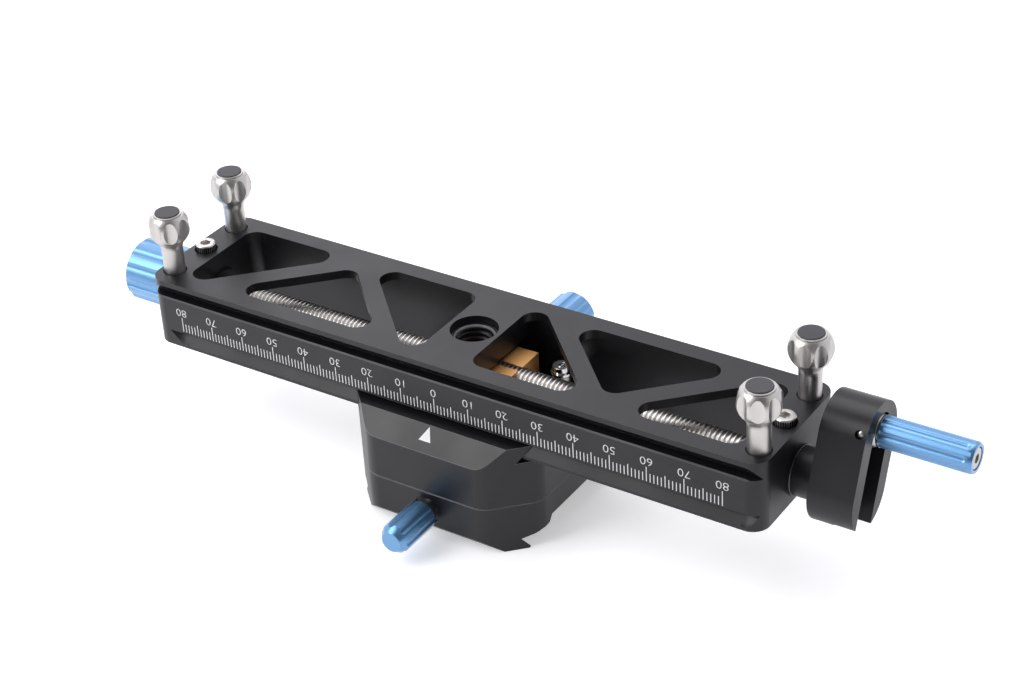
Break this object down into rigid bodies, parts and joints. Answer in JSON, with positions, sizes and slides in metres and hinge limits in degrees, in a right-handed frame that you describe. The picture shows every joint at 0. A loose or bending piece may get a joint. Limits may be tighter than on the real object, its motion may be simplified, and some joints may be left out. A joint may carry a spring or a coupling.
{
  "type": "macro focusing rail",
  "caption": "Lattice rail with millimetre scale, lead screw, folding crank and levelling feet; the screw drives a carriage with a lock knob and a quick-release dovetail clamp.",
  "frame": {"origin": "centre of the deck face, on the axis of the tripod thread", "axes": "+X along the rail towards the crank, +Y towards the side of the lock knob, +Z out of the deck; the clamp hangs towards -Z"},
  "size_m": [0.2404, 0.0889, 0.0632],
  "materials": {
    "black_anodised": "satin black anodised",
    "blue_anodised": "satin blue anodised",
    "steel": "turned stainless steel",
    "brass": "machined",
    "rubber": "matte",
    "glide_plastic": "matte"
  },
  "bodies": {
    "rail": {"rail_body": "black_anodised", "tripod_insert": "black_anodised", "screw_bushes": "steel", "thrust_washers": "steel", "bush_screws": "steel"},
    "screw": {"lead_screw": "steel", "left_knob": "blue_anodised", "left_grub": "steel", "crank_arm": "black_anodised", "crank_grub": "steel", "handle_pin": "steel"},
    "handle": {"handle_knuckle": "steel", "handle_ring": "steel", "handle_screw": "steel"},
    "sleeve": {"handle_sleeve": "blue_anodised"},
    "carriage": {"carriage_body": "black_anodised", "guide_bar": "black_anodised", "guide_bar_screws": "steel", "glide_strips": "glide_plastic", "nut_bracket": "black_anodised", "drive_nut": "brass", "nut_bolts": "steel", "bracket_spacers": "steel", "bracket_washers": "steel", "bracket_screws": "steel", "clamp_body": "black_anodised", "joining_screws": "steel", "clamp_bush": "steel", "jaw_guide_pins": "steel"},
    "clamp_drive": {"clamp_screw": "steel", "clamp_knob": "blue_anodised"},
    "jaw": {"clamp_jaw": "black_anodised"},
    "shoe": {"lock_shoe": "brass"},
    "lock_drive": {"lock_spindle": "steel", "lock_knob": "blue_anodised"},
    "pad_1": {"foot_pad_1": "rubber"},
    "foot_1": {"foot_screw_1": "steel"},
    "pad_2": {"foot_pad_2": "rubber"},
    "foot_2": {"foot_screw_2": "steel"},
    "pad_3": {"foot_pad_3": "rubber"},
    "foot_3": {"foot_screw_3": "steel"},
    "pad_4": {"foot_pad_4": "rubber"},
    "foot_4": {"foot_screw_4": "steel"}
  },
  "joints": [
    {"name": "screw_turn", "type": "hinge", "parent": "rail", "child": "screw", "pos_m": [0, 0, -0.0122], "axis": [1, 0, 0], "range_deg": [-15560, 15560]},
    {"name": "carriage_slide", "type": "slide", "parent": "rail", "child": "carriage", "axis": [1, 0, 0], "range_m": [-0.054, 0.054]},
    {"name": "handle_fold", "type": "hinge", "parent": "screw", "child": "handle", "pos_m": [0.106, 0.00512, 0.00158], "axis": [0, 0.9373, -0.3486], "range_deg": [0, 90]},
    {"name": "sleeve_spin", "type": "hinge", "parent": "handle", "child": "sleeve", "pos_m": [0.12, 0.00512, 0.00158], "axis": [1, 0, 0], "continuous": true},
    {"name": "clamp_turn", "type": "hinge", "parent": "carriage", "child": "clamp_drive", "pos_m": [0.0012, -0.0295, -0.0379], "axis": [0, 1, 0], "range_deg": [0, 1445]},
    {"name": "jaw_slide", "type": "slide", "parent": "carriage", "child": "jaw", "axis": [0, -1, 0], "range_m": [0, 0.0028]},
    {"name": "shoe_slide", "type": "slide", "parent": "carriage", "child": "shoe", "axis": [0, -1, 0], "range_m": [0, 0.00055]},
    {"name": "lock_turn", "type": "hinge", "parent": "shoe", "child": "lock_drive", "pos_m": [0.0012, 0.03, -0.0188], "axis": [0, -1, 0], "range_deg": [0, 285]},
    {"name": "pad_1_lift", "type": "slide", "parent": "rail", "child": "pad_1", "axis": [0, 0, 1], "range_m": [-0.006, 0.003]},
    {"name": "foot_1_turn", "type": "hinge", "parent": "pad_1", "child": "foot_1", "pos_m": [-0.086, -0.0128, 0.0127], "axis": [0, 0, 1], "range_deg": [-2165, 1085]},
    {"name": "pad_2_lift", "type": "slide", "parent": "rail", "child": "pad_2", "axis": [0, 0, 1], "range_m": [-0.006, 0.003]},
    {"name": "foot_2_turn", "type": "hinge", "parent": "pad_2", "child": "foot_2", "pos_m": [0.086, -0.0128, 0.0127], "axis": [0, 0, 1], "range_deg": [-2165, 1085]},
    {"name": "pad_3_lift", "type": "slide", "parent": "rail", "child": "pad_3", "axis": [0, 0, 1], "range_m": [-0.006, 0.003]},
    {"name": "foot_3_turn", "type": "hinge", "parent": "pad_3", "child": "foot_3", "pos_m": [-0.086, 0.0128, 0.0127], "axis": [0, 0, 1], "range_deg": [-2165, 1085]},
    {"name": "pad_4_lift", "type": "slide", "parent": "rail", "child": "pad_4", "axis": [0, 0, 1], "range_m": [-0.006, 0.003]},
    {"name": "foot_4_turn", "type": "hinge", "parent": "pad_4", "child": "foot_4", "pos_m": [0.086, 0.0128, 0.0127], "axis": [0, 0, 1], "range_deg": [-2165, 1085]}
  ],
  "couplings": [
    {"joint": "screw_turn", "follows": "carriage_slide", "rad_per_m": -5026.5},
    {"joint": "clamp_turn", "follows": "jaw_slide", "rad_per_m": 8976},
    {"joint": "lock_turn", "follows": "shoe_slide", "rad_per_m": 8976},
    {"joint": "foot_1_turn", "follows": "pad_1_lift", "rad_per_m": 6283.2},
    {"joint": "foot_2_turn", "follows": "pad_2_lift", "rad_per_m": 6283.2},
    {"joint": "foot_3_turn", "follows": "pad_3_lift", "rad_per_m": 6283.2},
    {"joint": "foot_4_turn", "follows": "pad_4_lift", "rad_per_m": 6283.2}
  ]
}
